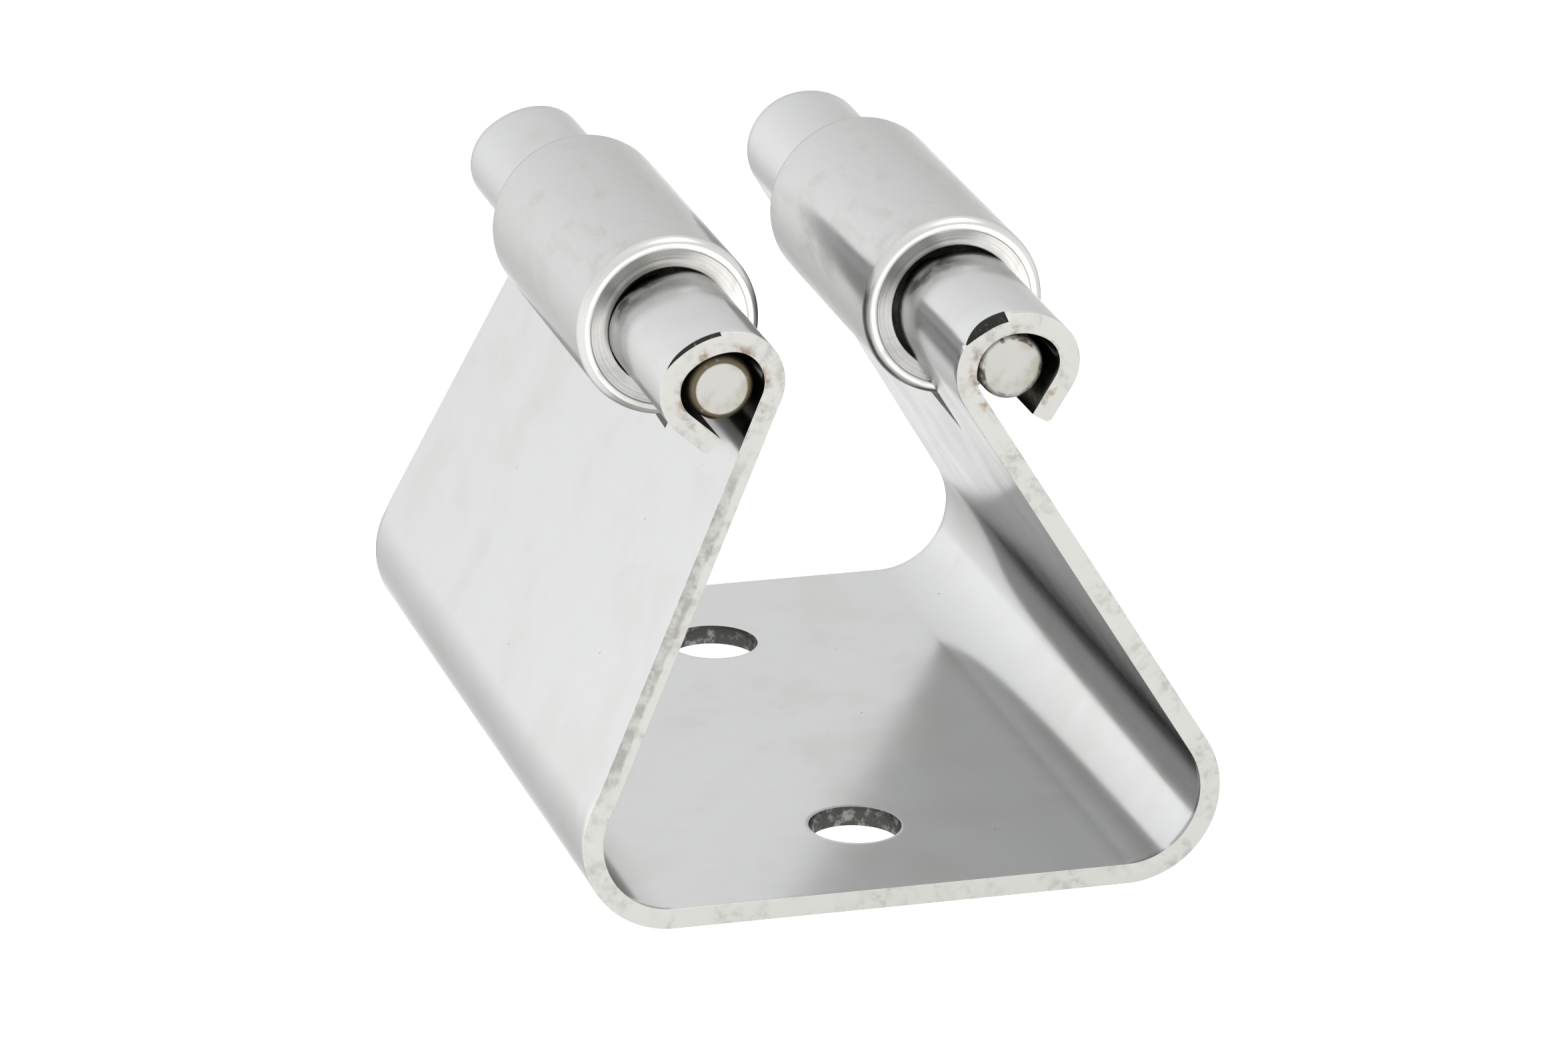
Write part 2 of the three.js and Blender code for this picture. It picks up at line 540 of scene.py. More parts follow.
@dataclass(frozen=True)
class FacedEnd:
    """Faced end of a roller: pale, satin, a little warm, with fine rings and soft darker smears.

    The painted shade is a darker, streaky zone on one side of the bore, a painted dark reflection
    that turns with the roller: how far it lies out that way, and the radius that it stays inside.
    """

    colour: Colour = (0.84, 0.83, 0.80)
    smear: Colour = (0.62, 0.61, 0.585)
    # painted shade: colour of a painted dark reflection on one side of the faced end
    painted_end_shade: Colour = (0.33, 0.325, 0.305)
    shade_way: Triple = (-0.5, 0.0, 0.87)
    shade_out: Pair = (2.3, 4.0)
    shade_inside: Pair = (5.0, 4.7)
    roughness: Pair = (0.40, 0.48)

    def material(self, name: str, centre: Vector) -> bpy.types.Material:
        """Builds the material.

        Args:
            name: The material's name.
            centre: A point on the roller's axis, in metres.

        Returns:
            The material.
        """
        bench = Bench(name, centre)
        smears = bench.grain(2.6, detail=4.0, distortion=0.4)
        colour = bench.blend(bench.span(smears, 0.46, 0.68, 0.0, 0.75), self.colour, self.smear)
        # painted shade: darker streaky zone, a painted dark reflection that turns with the roller
        painted_end_shaded = bench.combine(
            "MULTIPLY",
            bench.span(bench.along(self.shade_way), *self.shade_out),
            bench.span(TurnedSteel.rings(bench, 0.5), 0.3, 0.6, 0.45, 1.0),
            bench.span(bench.ring(), *self.shade_inside),
        )
        colour = bench.blend(painted_end_shaded, colour, self.painted_end_shade)
        bench.relief(TurnedSteel.rings(bench, 0.13), 0.008)
        bench.relief(bench.grain(0.25, detail=2.0), 0.004)
        return bench.finish(colour, bench.span(smears, 0.35, 0.7, *self.roughness), 1.0)


@dataclass(frozen=True)
class PinSteel:
    """Cropped rod: pale satin end, and a rounded rim with an olive-brown tint.

    disc is the radius of the pale end, and cover says how patchy the tint is.
    """

    disc: float
    cover: Pair
    colour: Colour = (0.40, 0.395, 0.375)
    dull: Colour = (0.30, 0.285, 0.235)
    rim: Colour = (0.075, 0.06, 0.032)
    roughness: Pair = (0.3, 0.42)

    def material(self, name: str, centre: Vector) -> bpy.types.Material:
        """Builds the material.

        Args:
            name: The material's name.
            centre: A point on the pin's axis, in metres.

        Returns:
            The material.
        """
        bench = Bench(name, centre)
        patches = bench.grain(0.9, detail=3.0, distortion=0.5)
        rim = bench.span(bench.ring(), self.disc - 0.05, self.disc + 0.07, 0.0, 0.95)
        tint = bench.combine("MULTIPLY", rim, bench.span(patches, *self.cover))
        dull = bench.span(bench.grain(1.7, detail=4.0, roughness=0.6), 0.4, 0.68, 0.0, 0.9)
        colour = bench.blend(dull, self.colour, self.dull)
        colour = bench.blend(tint, colour, self.rim)
        bench.relief(patches, 0.02)
        return bench.finish(colour, bench.span(patches, 0.3, 0.7, *self.roughness), 0.9)


# ---- shaping ----


def settle(bm: bmesh.types.BMesh, name: str, materials: list[bpy.types.Material]) -> bpy.types.Object:
    """Turns a finished shape in millimetres into an object in metres, at the origin.

    Args:
        bm: The shape. It is freed.
        name: The object's name.
        materials: Its material slots.

    Returns:
        The object.
    """
    bmesh.ops.scale(bm, vec=(MM, MM, MM), verts=bm.verts)
    if bm.calc_volume(signed=True) < 0:
        bmesh.ops.reverse_faces(bm, faces=bm.faces)
    for face in bm.faces:
        face.smooth = True
    mesh = bpy.data.meshes.new(name)
    bm.to_mesh(mesh)
    bm.free()
    mesh.set_sharp_from_angle(angle=SHARP_ANGLE)
    for material in materials:
        mesh.materials.append(material)
    piece = bpy.data.objects.new(name, mesh)
    bpy.context.scene.collection.objects.link(piece)
    weigh = piece.modifiers.new("face_weighted_normals", "WEIGHTED_NORMAL")
    weigh.keep_sharp = True
    return piece


def round_edges(bm: bmesh.types.BMesh, edges: list[bmesh.types.BMEdge], size: float, segments: int) -> None:
    """Rounds edges.

    Args:
        bm: The shape.
        edges: The edges.
        size: Width of the rounding on each side of an edge, in millimetres.
        segments: Steps across the rounding.
    """
    bmesh.ops.bevel(
        bm,
        geom=edges,
        offset=size,
        segments=segments,
        profile=0.5,
        affect="EDGES",
        material=-1,
        clamp_overlap=True,
    )


def turn(profile: list[Pair], rounds: list[Triple], sides: int = 128) -> bmesh.types.BMesh:
    """Spins a profile about Y and rounds its rings.

    Args:
        profile: (radius, y) of each corner, in millimetres. It is closed, or starts and ends on the axis.
        rounds: (radius, y, size) of each ring to round, in millimetres.
        sides: Steps in a full turn.

    Returns:
        The turned shape.
    """
    bm = bmesh.new()
    here = first = bm.verts.new((profile[0][0], profile[0][1], 0.0))
    for radius, y in profile[1:]:
        if (radius, y) == profile[0]:
            bm.edges.new((here, first))
            break
        step = bmesh.ops.extrude_vert_indiv(bm, verts=[here])
        bmesh.ops.translate(bm, vec=Vector((radius, y, 0.0)) - here.co, verts=step["verts"])
        here = step["verts"][0]
    bmesh.ops.spin(
        bm,
        geom=bm.verts[:] + bm.edges[:],
        cent=(0, 0, 0),
        axis=(0, 1, 0),
        angle=math.tau,
        steps=sides,
        use_merge=True,
    )
    bmesh.ops.remove_doubles(bm, verts=bm.verts, dist=SAME_PLACE)
    bmesh.ops.recalc_face_normals(bm, faces=bm.faces)
    for radius, y, size in rounds:
        ring = {
            v for v in bm.verts if math.hypot(math.hypot(v.co.x, v.co.z) - radius, v.co.y - y) < ALMOST
        }
        round_edges(bm, [edge for edge in bm.edges if ring.issuperset(edge.verts)], size, 5)
    return bm


@dataclass
class Sweep:
    """Carries a row of edges along the bracket's section, one straight or bend at a time.

    side is -1 for the left and 1 for the right. A heading is in degrees from straight outwards:
    90 is up, 0 is away from the middle and -90 is down.
    """

    bm: bmesh.types.BMesh
    row: list[bmesh.types.BMEdge]
    side: int
    point: Vector
    heading: float = 0.0

    def ahead(self) -> Vector:
        """Direction of travel."""
        angle = math.radians(self.heading)
        return Vector((self.side * math.cos(angle), 0.0, math.sin(angle)))

    def verts(self) -> list[bmesh.types.BMVert]:
        """The row's corners, front to rear."""
        return sorted({v for edge in self.row for v in edge.verts}, key=lambda v: v.co.y)

    def straight(self, length: float) -> None:
        """Carries the row straight on.

        Args:
            length: How far, in millimetres.
        """
        grown = bmesh.ops.extrude_edge_only(self.bm, edges=self.row)["geom"]
        corners = [g for g in grown if isinstance(g, bmesh.types.BMVert)]
        bmesh.ops.translate(self.bm, vec=self.ahead() * length, verts=corners)
        self.row = [g for g in grown if isinstance(g, bmesh.types.BMEdge)]
        self.point = self.point + self.ahead() * length

    def bend(self, radius: float, angle: float) -> None:
        """Carries the row once around a small angle.

        Args:
            radius: Radius in millimetres.
            angle: Angle in degrees, positive towards up when the heading is outwards.
        """
        way = 1 if angle > 0 else -1
        ahead = self.ahead()
        square = Vector((-ahead.z * self.side, 0.0, ahead.x * self.side))
        centre = self.point + square * (way * radius)
        axis = Vector((0.0, -self.side * way, 0.0))
        spun = bmesh.ops.spin(
            self.bm,
            geom=self.row,
            cent=centre,
            axis=axis,
            angle=math.radians(abs(angle)),
            steps=1,
        )["geom_last"]
        self.row = [g for g in spun if isinstance(g, bmesh.types.BMEdge)]
        self.point = centre + Matrix.Rotation(math.radians(abs(angle)), 3, axis) @ (self.point - centre)
        self.heading += angle


# ---- the bracket ----


@dataclass(frozen=True)
class Arc:
    """Part of a rolled ear: its outside radius, and the heading it ends at."""

    radius: float
    until: float


@dataclass(frozen=True)
class Nick:
    """A front ear's ground-off corner: it ends sharply at one heading and fades out at another.

    back is its width along the ear and down its depth, in millimetres. It starts at a share of
    its way of at least least, and is full grown at the share 1 / growth.
    """

    sharp: float
    fades: float
    back: float
    down: float
    least: float = 0.02
    growth: float = 1.6
    swell: float = 0.8


@dataclass(frozen=True)
class Arm:
    """One arm of the bracket: its lean from upright in degrees, its ears and its notch."""

    name: str
    side: int
    lean: float
    ear: tuple[Arc, ...]
    tail: float
    relief_drop: float
    notch_y: float
    nick: Nick


@dataclass
class SpringBracket:
    """The bent sheet: a base with two screw holes, two arms, and two rolled ears on each arm.

    hole_frame is half the square panel around a hole, and border a narrow strip along the front
    and rear edges. band is a short stretch at each end of an ear, and shortest the least length
    of an arm's first straight. slack is the room left when corners are picked out by their place.
    The steps are the largest angles that a bend and an ear are built
    from, and an ear still climbs while its heading is above climbs, all in degrees.
    """

    sheet: float = 1.25
    half_width: float = 19.7
    base_depth: float = 50.3
    ear_span: float = 43.6
    taper_from: float = 8.5
    taper_to: float = 31.0
    climbs: float = 60.0
    bend_radius: float = 5.7
    arm_length: float = 25.9
    notch_width: float = 21.1
    notch_drop: float = 6.0
    relief_width: float = 4.2
    hole_radius: float = 2.8
    hole_y: float = 15.4
    hole_frame: float = 3.6
    hole_lip: float = 0.35
    border: float = 0.6
    band: float = 0.2
    shortest: float = 0.25
    slack: float = 0.1
    bend_step: float = 3.0
    ear_step: float = 4.0
    edge_round: float = 0.13
    tip_round: float = 0.35
    arms: tuple[Arm, ...] = (
        Arm(
            "left",
            side=-1,
            lean=24.7,
            ear=(Arc(3.3, 0), Arc(4.9, -41), Arc(3.1, -139)),
            tail=2.45,
            relief_drop=6.2,
            notch_y=-0.15,
            nick=Nick(sharp=-5, fades=-62, back=0.3, down=0.16),
        ),
        Arm(
            "right",
            side=1,
            lean=32.0,
            ear=(Arc(3.55, 18), Arc(4.4, -34), Arc(3.0, -121)),
            tail=2.6,
            relief_drop=7.0,
            notch_y=0.35,
            nick=Nick(sharp=9, fades=60, back=0.75, down=0.42),
        ),
    )
    pushes: list[Vector] = field(default_factory=list)

    def columns(self) -> list[float]:
        """Lays out the lines that run along the strip.

        Returns:
            The y of each line, front to rear.
        """
        half = [
            self.base_depth / 2,
            self.base_depth / 2 - self.border,
            self.hole_y + self.hole_frame,
            self.hole_y - self.hole_frame,
            self.notch_width / 2,
            self.notch_width / 2 - self.relief_width,
        ]
        return [-y for y in half] + [0.0] + half[::-1]

    def build(self) -> bpy.types.Object:
        """Bends the sheet, gives it its thickness and breaks its edges.

        Returns:
            The bracket.
        """
        bm = bmesh.new()
        bm.verts.layers.int.new("nick")
        bm.verts.layers.int.new("tip")
        flat = self.half_width - self.bend_radius
        ends = self.lay_base(bm, flat)
        for arm in self.arms:
            self.raise_arm(bm, arm, ends[arm.side], flat)
        bmesh.ops.remove_doubles(bm, verts=bm.verts, dist=SAME_PLACE)
        bmesh.ops.recalc_face_normals(bm, faces=bm.faces)
        self.thicken(bm)
        self.break_edges(bm)
        bmesh.ops.dissolve_degenerate(bm, dist=SAME_PLACE, edges=bm.edges)
        finishes = [
            PolishedSheet(axles=self.axles()).material(),
            self.sheared_edge().material(),
            GroundNick().material(),
            PiercedWall().material("pierced_wall"),
        ]
        return settle(bm, "bent_bracket", finishes)

    def sheared_edge(self) -> ShearedEdge:
        """Sets out the torn zone along the outside of the left arm.

        Returns:
            The sheared edge's finish.
        """
        arm = self.arms[0]
        lean = math.radians(arm.lean)
        outward = Vector((arm.side * math.cos(lean), 0.0, math.sin(lean)))
        centre = Vector((arm.side * (self.half_width - self.bend_radius), 0.0, self.bend_radius))
        return ShearedEdge(tuple(outward), centre.dot(outward) + self.bend_radius, self.axles())

    def axles(self) -> tuple[Vector, ...]:
        """A point on each pin's axis, in millimetres."""
        boxes = [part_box(f"{arm.name}_roller_pin") for arm in self.arms]
        return tuple((low + high) / (2 * MM) for low, high in boxes)

    def lay_base(self, bm: bmesh.types.BMesh, flat: float) -> dict[int, list[bmesh.types.BMEdge]]:
        """Lays the flat of the base, as its upper face, and pierces the screw holes.

        Args:
            bm: The shape.
            flat: Distance from the middle to where the bends start.

        Returns:
            The row of edges at each end, by side.
        """
        rows = self.columns()
        here = bm.verts.new((-flat, rows[0], self.sheet))
        for y in rows[1:]:
            step = bmesh.ops.extrude_vert_indiv(bm, verts=[here])
            bmesh.ops.translate(bm, vec=(0.0, y - here.co.y, 0.0), verts=step["verts"])
            here = step["verts"][0]
        left = bm.edges[:]
        sweep = Sweep(bm, left, 1, Vector((-flat, 0.0, self.sheet)))
        for length in (flat - self.hole_frame, 2 * self.hole_frame, flat - self.hole_frame):
            sweep.straight(length)
        for end in (-1, 1):
            self.pierce(bm, end * self.hole_y)
        return {-1: left, 1: sweep.row}

    def pierce(self, bm: bmesh.types.BMesh, y: float) -> None:
        """Opens one screw hole: a round in the square panel, then a lip in to the hole's size.

        Args:
            bm: The shape.
            y: The hole's centre.
        """
        panel = [
            f
            for f in bm.faces
            if abs(f.calc_center_median().x) < self.hole_frame and abs(f.calc_center_median().y - y) < 1.0
        ]
        rim = list({edge for f in panel for edge in f.edges})
        bmesh.ops.delete(bm, geom=panel, context="FACES_ONLY")
        cut = bmesh.ops.subdivide_edges(bm, edges=rim, cuts=15)
        rim = [g for g in cut["geom"] if isinstance(g, bmesh.types.BMEdge)]
        place = Matrix.Translation((0.0, y, self.sheet)) @ Matrix.Rotation(math.radians(45), 4, "Z")
        wide = self.hole_radius + self.hole_lip
        circle = bmesh.ops.create_circle(bm, segments=64, radius=wide, matrix=place)["verts"]
        loop = list({edge for v in circle for edge in v.link_edges})
        bmesh.ops.bridge_loops(bm, edges=rim + loop)
        grown = bmesh.ops.extrude_edge_only(bm, edges=loop)["geom"]
        share = self.hole_radius / wide
        bmesh.ops.scale(
            bm,
            vec=(share, share, 1.0),
            space=Matrix.Translation((0.0, -y, -self.sheet)),
            verts=[g for g in grown if isinstance(g, bmesh.types.BMVert)],
        )

    def raise_arm(self, bm: bmesh.types.BMesh, arm: Arm, row: list[bmesh.types.BMEdge], flat: float) -> None:
        """Bends one arm up from the base and rolls its two ears.

        Args:
            bm: The shape.
            arm: The arm.
            row: The base's last row of edges on that side.
            flat: Distance from the middle to where the bend starts.
        """
        sweep = Sweep(bm, row, arm.side, Vector((arm.side * flat, 0.0, self.sheet)))
        self.curve(sweep, self.bend_radius - self.sheet, 90 + arm.lean, self.bend_step)
        cosine = math.cos(math.radians(arm.lean))
        first = max((self.taper_from - sweep.point.z) / cosine, self.shortest)
        sweep.straight(first)
        for vert in sweep.verts():
            if abs(vert.co.y) < self.notch_width / 2 + self.slack:
                vert.co.y += arm.notch_y
        floor = self.arm_length - arm.relief_drop
        sweep.straight(floor - first)
        self.narrow(sweep)
        rise = arm.relief_drop - self.notch_drop
        reach = self.notch_width / 2 - self.slack
        inner = [v for v in sweep.verts() if abs(v.co.y - arm.notch_y) < reach]
        bmesh.ops.translate(bm, vec=sweep.ahead() * rise, verts=inner)
        sweep.row = [
            edge
            for edge in sweep.row
            if abs((edge.verts[0].co.y + edge.verts[1].co.y) / 2 - arm.notch_y) > self.notch_width / 2
        ]
        sweep.straight(arm.relief_drop - self.band)
        self.narrow(sweep)
        sweep.straight(self.band)
        self.narrow(sweep)
        for arc in arm.ear:
            self.curve(sweep, arc.radius, arc.until - sweep.heading, self.ear_step, arm)
        sweep.straight(self.band)
        sweep.straight(arm.tail - self.band)
        for vert in sweep.verts():
            vert[bm.verts.layers.int["tip"]] = 1

    def narrow(self, sweep: Sweep) -> None:
        """Moves a row's front and rear borders in to the arm's depth at the row's height.

        Args:
            sweep: The row.
        """
        share = (sweep.point.z - self.taper_from) / (self.taper_to - self.taper_from)
        share = min(max(share, 0.0), 1.0)
        depth = self.base_depth / 2 + (self.ear_span - self.base_depth) / 2 * share
        corners = sweep.verts()
        for vert, way, back in (
            (corners[0], -1, 0.0),
            (corners[1], -1, self.border),
            (corners[-2], 1, self.border),
            (corners[-1], 1, 0.0),
        ):
            vert.co.y = way * (depth - back)

    def curve(self, sweep: Sweep, radius: float, angle: float, step: float, arm: Arm | None = None) -> None:
        """Carries a row around a bend in small steps.

        Args:
            sweep: The row.
            radius: Radius of the face that the row lies on.
            angle: The whole angle in degrees.
            step: Largest angle of a step in degrees.
            arm: The arm, if the bend is part of its ears.
        """
        count = math.ceil(abs(angle) / step)
        for _ in range(count):
            sweep.bend(radius, angle / count)
            if arm is None:
                continue
            if sweep.point.z < self.taper_to and sweep.heading > self.climbs:
                self.narrow(sweep)
            self.grind(sweep, arm.nick)

    def grind(self, sweep: Sweep, nick: Nick) -> None:
        """Marks a row's front corner with how far the nick pushes it in, where there is a nick.

        Args:
            sweep: The row.
            nick: The ear's nick.
        """
        mark = sweep.bm.verts.layers.int["nick"]
        corners = sweep.verts()
        corners[0][mark] = 0
        share = (sweep.heading - nick.fades) / (nick.sharp - nick.fades)
        if nick.least < share <= 1.0 + ALMOST:
            full = math.sin(math.pi / 2 * min(share * nick.growth, 1.0)) ** nick.swell
            corners[1].co.y = corners[0].co.y + nick.back * full
            inward = Vector((0.0, sweep.side, 0.0)).cross(sweep.ahead())
            self.pushes.append(inward * nick.down * full)
            corners[0][mark] = len(self.pushes)

    def thicken(self, bm: bmesh.types.BMesh) -> None:
        """Gives the bent surface its thickness, away from the cradle, and grinds the nicks.

        Args:
            bm: The shape.
        """
        middle = min(bm.faces, key=lambda f: f.calc_center_median().length)
        if middle.normal.z < 0:
            bmesh.ops.reverse_faces(bm, faces=bm.faces)
        shown = set(bm.verts)
        mark = bm.verts.layers.int["nick"]
        bmesh.ops.solidify(bm, geom=bm.faces[:], thickness=self.sheet)
        ground = {v for v in bm.verts if v[mark] and v in shown}
        for vert in ground:
            vert.co += self.pushes[vert[mark] - 1]
        for face in bm.faces:
            kept = sum(v in shown for v in face.verts)
            sheared = 0 < kept < len(face.verts)
            face.material_index = (Surface.SHEARED if sheared else Surface.FACE).value
            middle = face.calc_center_median()
            if sheared and math.hypot(middle.x, abs(middle.y) - self.hole_y) < self.hole_radius + self.slack:
                face.material_index = Surface.PIERCED.value
            if not sheared and sum(v in ground for v in face.verts) == 2:
                face.material_index = Surface.GROUND.value
        tip = bm.verts.layers.int["tip"]
        tips = [edge for edge in bm.edges if all(v[tip] and v in shown for v in edge.verts)]
        round_edges(bm, tips, self.tip_round, 4)

    def break_edges(self, bm: bmesh.types.BMesh) -> None:
        """Rounds every sheared corner a little.

        Args:
            bm: The shape.
        """
        bm.normal_update()
        corners = [
            edge
            for edge in bm.edges
            if len(edge.link_faces) == 2
            and edge.link_faces[0].material_index != edge.link_faces[1].material_index
            and edge.calc_face_angle() > math.radians(60)
        ]
        round_edges(bm, corners, self.edge_round, 3)


# ---- rollers and pins ----


@dataclass
class Roller:
    """A turned roller with a counterbored mouth at each end of its bore.

    lip is how far the end face lies behind the roller's very end, land the width of the rim that
    stands there inside the rounded corner, and step the width of the slope between them.
    """

    node: str
    body: str
    bore: float = 2.25
    mouth: float = 3.7
    mouth_depth: float = 3.0
    corner: float = 0.6
    lip: float = 0.03
    land: float = 0.12
    step: float = 0.08
    mouth_round: float = 0.1

    def build(self) -> bpy.types.Object:
        """Turns the roller in the place of its node.

        Returns:
            The roller.
        """
        low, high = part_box(self.node)
        centre = (low + high) / 2
        radius = (high.x - low.x) / 2 / MM
        end = (high.y - low.y) / 2 / MM
        rim = end - self.lip
        inner = radius - self.corner - self.land
        shoulder = end - self.mouth_depth
        half = [
            (self.bore, shoulder),
            (self.mouth, shoulder),
            (self.mouth, rim),
            (inner - self.step, rim),
            (inner, end),
            (radius, end),
        ]
        profile = half + [(r, -y) for r, y in half[::-1]]
        rounds = [(radius, way * end, self.corner) for way in (-1, 1)]
        rounds += [(self.mouth, way * rim, self.mouth_round) for way in (-1, 1)]
        bm = turn(profile + profile[:1], rounds)
        for face in bm.faces:
            middle = face.calc_center_median()
            if math.hypot(middle.x, middle.z) < self.mouth - 0.02:
                face.material_index = RollerSurface.BORE.value
            elif abs(middle.y) > end - self.corner:
                flat = abs(face.normal.y) > 0.95
                face.material_index = (RollerSurface.FACED if flat else RollerSurface.CORNER).value
        bmesh.ops.translate(bm, vec=centre / MM, verts=bm.verts)
        corner = TurnedSteel(colour=(0.43, 0.428, 0.415), roughness=(0.26, 0.34))
        finishes = [
            TurnedSteel().material(self.node + "_steel", centre),
            corner.material(self.node + "_corner", centre),
            FacedEnd().material(self.node + "_end", centre),
            # near-black bore finish: painted shade in the recess of the bore and the mouth's floor, with a
            # few lighter scuffs
            PiercedWall(scuff=(0.13, 0.128, 0.12)).material(self.node + "_bore_painted_shade"),
        ]
        piece = settle(bm, self.node + "_turned", finishes)
        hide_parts(self.node)
        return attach(piece, self.body)


@dataclass
class Pin:
    """A length of rod with rounded, slightly domed ends.

    crown gives points of an end: the share of the radius, and how far it lies behind the very
    end. dome is the same at the rim.
    """

    node: str
    body: str
    disc: float
    cover: Pair
    crown: tuple[Pair, ...] = ((0.0, 0.0), (0.45, 0.01), (0.72, 0.025))
    dome: float = 0.06

    def build(self) -> bpy.types.Object:
        """Turns the pin in the place of its node.

        Returns:
            The pin.
        """
        low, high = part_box(self.node)
        centre = (low + high) / 2
        radius = (high.x - low.x) / 2 / MM
        end = (high.y - low.y) / 2 / MM
        edge = end - self.dome
        half = [(radius * share, end - drop) for share, drop in self.crown] + [(radius, edge)]
        profile = half + [(r, -y) for r, y in half[::-1]]
        bm = turn(profile, [(radius, way * edge, radius - self.disc) for way in (-1, 1)], sides=96)
        bmesh.ops.translate(bm, vec=centre / MM, verts=bm.verts)
        finish = PinSteel(self.disc, self.cover).material(self.node + "_steel", centre)
        piece = settle(bm, self.node + "_rod", [finish])
        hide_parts(self.node)
        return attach(piece, self.body)


# ---- studio ----


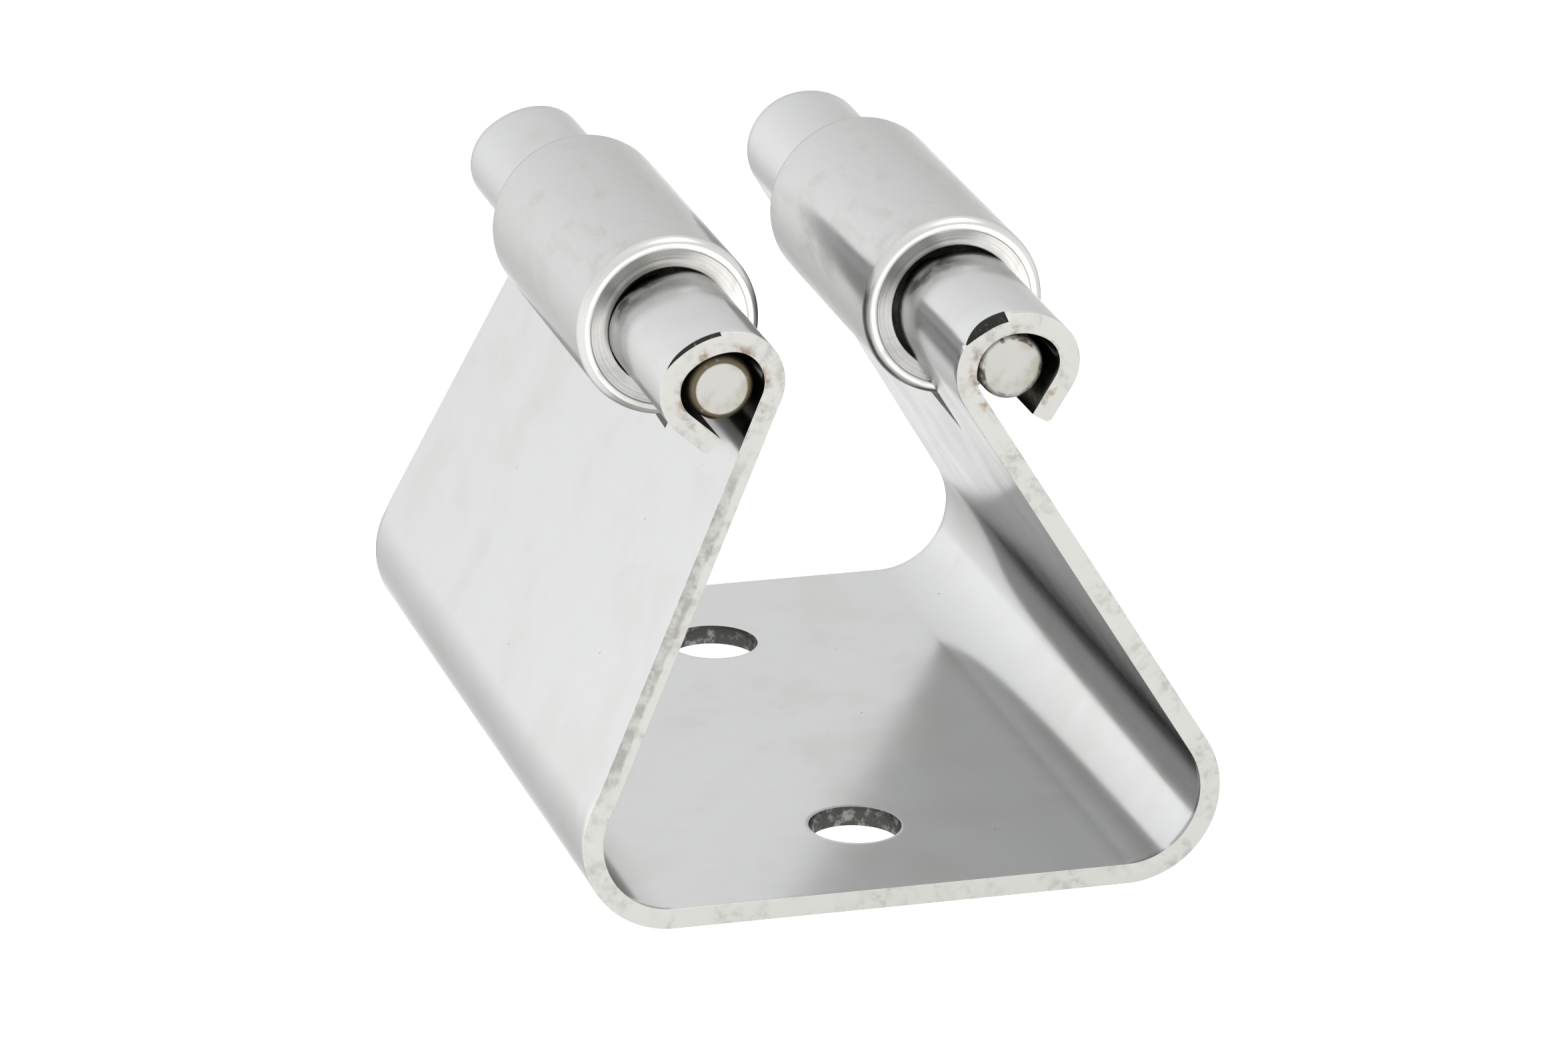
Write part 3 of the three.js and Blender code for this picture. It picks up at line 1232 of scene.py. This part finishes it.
@dataclass(frozen=True)
class Studio:
    """White table, white tent and soft light, both a little brighter towards the left.

    tent gives the light at points from level with the clip, 0, to straight overhead, 1.
    """

    table_size: float = 1.0
    table_glow: float = 1.12
    table_left_glow: float = 1.45
    table_fade: float = 0.045
    tent_light: float = 1.8
    tent_left_gain: float = 1.04
    tent_fade: float = 0.8
    tent: tuple[Pair, ...] = (
        (0.0, 1.04),
        (0.10, 1.0),
        (0.32, 0.91),
        (0.60, 0.80),
        (1.0, 0.95),
    )
    lamp_place: Triple = (0.22, -0.28, 0.71)
    lamp_size: float = 0.38
    lamp_power: float = 1.7

    def build(self) -> None:
        """Sets up the table, the tent and the lamp."""
        self.lay_table()
        self.hang_tent()
        self.hang_lamp()
        scene = bpy.context.scene
        scene.view_settings.view_transform = "Standard"
        scene.view_settings.look = "None"

    def lay_table(self) -> None:
        """Lays a glowing white table under the clip."""
        bm = bmesh.new()
        bmesh.ops.create_grid(bm, x_segments=1, y_segments=1, size=self.table_size / 2)
        mesh = bpy.data.meshes.new("table")
        bm.to_mesh(mesh)
        bm.free()
        table = bpy.data.objects.new("table", mesh)
        bpy.context.scene.collection.objects.link(table)
        material = bpy.data.materials.new("white_table")
        material.use_nodes = True
        shader = material.node_tree.nodes["Principled BSDF"]
        shader.inputs["Base Color"].default_value = (0.3, 0.3, 0.3, 1.0)
        shader.inputs["Roughness"].default_value = 0.8
        shader.inputs["Specular IOR Level"].default_value = 0.0
        shader.inputs["Emission Color"].default_value = (1.0, 1.0, 1.0, 1.0)
        tree = material.node_tree
        split = tree.nodes.new("ShaderNodeSeparateXYZ")
        side = tree.nodes.new("ShaderNodeMapRange")
        tree.links.new(tree.nodes.new("ShaderNodeTexCoord").outputs["Object"], split.inputs[0])
        tree.links.new(split.outputs["X"], side.inputs["Value"])
        glow = set_range(side, 0.0, -self.table_fade, self.table_glow, self.table_left_glow)
        tree.links.new(glow, shader.inputs["Emission Strength"])
        mesh.materials.append(material)

    def hang_tent(self) -> None:
        """Surrounds the scene with a tent whose brightness changes with height."""
        world = bpy.data.worlds.new("tent")
        bpy.context.scene.world = world
        world.use_nodes = True
        tree = world.node_tree
        background = tree.nodes["Background"]
        where = tree.nodes.new("ShaderNodeTexCoord")
        split = tree.nodes.new("ShaderNodeSeparateXYZ")
        ramp = tree.nodes.new("ShaderNodeValToRGB")
        tree.links.new(where.outputs["Generated"], split.inputs[0])
        tree.links.new(split.outputs["Z"], ramp.inputs["Fac"])
        tree.links.new(ramp.outputs["Color"], background.inputs["Color"])
        side = tree.nodes.new("ShaderNodeMapRange")
        tree.links.new(split.outputs["X"], side.inputs["Value"])
        light = set_range(side, 0.0, -self.tent_fade, self.tent_light, self.tent_light * self.tent_left_gain)
        tree.links.new(light, background.inputs["Strength"])
        stops = ramp.color_ramp.elements
        while len(stops) < len(self.tent):
            stops.new(0.5)
        for stop, (height, light) in zip(stops, self.tent):
            stop.position = height
            stop.color = (light, light, light, 1.0)

    def hang_lamp(self) -> None:
        """Hangs a soft square lamp that looks at the clip."""
        place = Vector(self.lamp_place)
        data = bpy.data.lights.new("overhead", "AREA")
        data.size = self.lamp_size
        data.energy = self.lamp_power
        lamp = bpy.data.objects.new("overhead", data)
        lamp.matrix_world = Matrix.Translation(place) @ place.to_track_quat("Z", "Y").to_matrix().to_4x4()
        bpy.context.scene.collection.objects.link(lamp)


@dataclass(frozen=True)
class Viewpoint:
    """Where the clip is seen from: a long lens, left of the front and a little above."""

    turn: float = 16.984
    height: float = 20.750
    roll: float = 1.222
    distance: float = 0.51046
    target: Triple = (-0.000177, 0.0, 0.015055)
    lens: float = 191.1

    def build(self) -> None:
        """Sets up the camera."""
        turn_angle, height, roll = (math.radians(a) for a in (self.turn, self.height, self.roll))
        ahead = Vector(
            (
                math.sin(turn_angle) * math.cos(height),
                math.cos(turn_angle) * math.cos(height),
                -math.sin(height),
            )
        )
        level = Vector((math.cos(turn_angle), -math.sin(turn_angle), 0.0))
        upright = level.cross(ahead)
        right = level * math.cos(roll) + upright * math.sin(roll)
        up = right.cross(ahead)
        data = bpy.data.cameras.new("viewpoint")
        data.lens = self.lens
        data.sensor_width = 36.0
        data.clip_start = 0.01
        camera = bpy.data.objects.new("viewpoint", data)
        place = Vector(self.target) - ahead * self.distance
        camera.matrix_world = Matrix.Translation(place) @ Matrix((right, up, -ahead)).transposed().to_4x4()
        bpy.context.scene.collection.objects.link(camera)
        bpy.context.scene.camera = camera


def main() -> None:
    """Builds the studio and every piece of the clip, and reports each one."""
    logging.basicConfig(level=logging.INFO, format="%(name)s: %(message)s")
    Viewpoint().build()
    Studio().build()
    bracket = SpringBracket().build()
    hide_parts("spring_bracket")
    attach(bracket, "bracket")
    pieces = [bracket]
    for name, mouth, disc, cover in (
        ("left", 3.7, 1.54, (0.1, 0.4)),
        ("right", 3.85, 1.64, (0.42, 0.62)),
    ):
        pieces.append(Roller(f"{name}_roller", f"{name}_roller_set", mouth=mouth).build())
        pieces.append(Pin(f"{name}_roller_pin", f"{name}_roller_set", disc, cover).build())
    for piece in pieces:
        log.info("%s: %d faces", piece.name, len(piece.data.polygons))


if __name__ == "__main__":
    main()
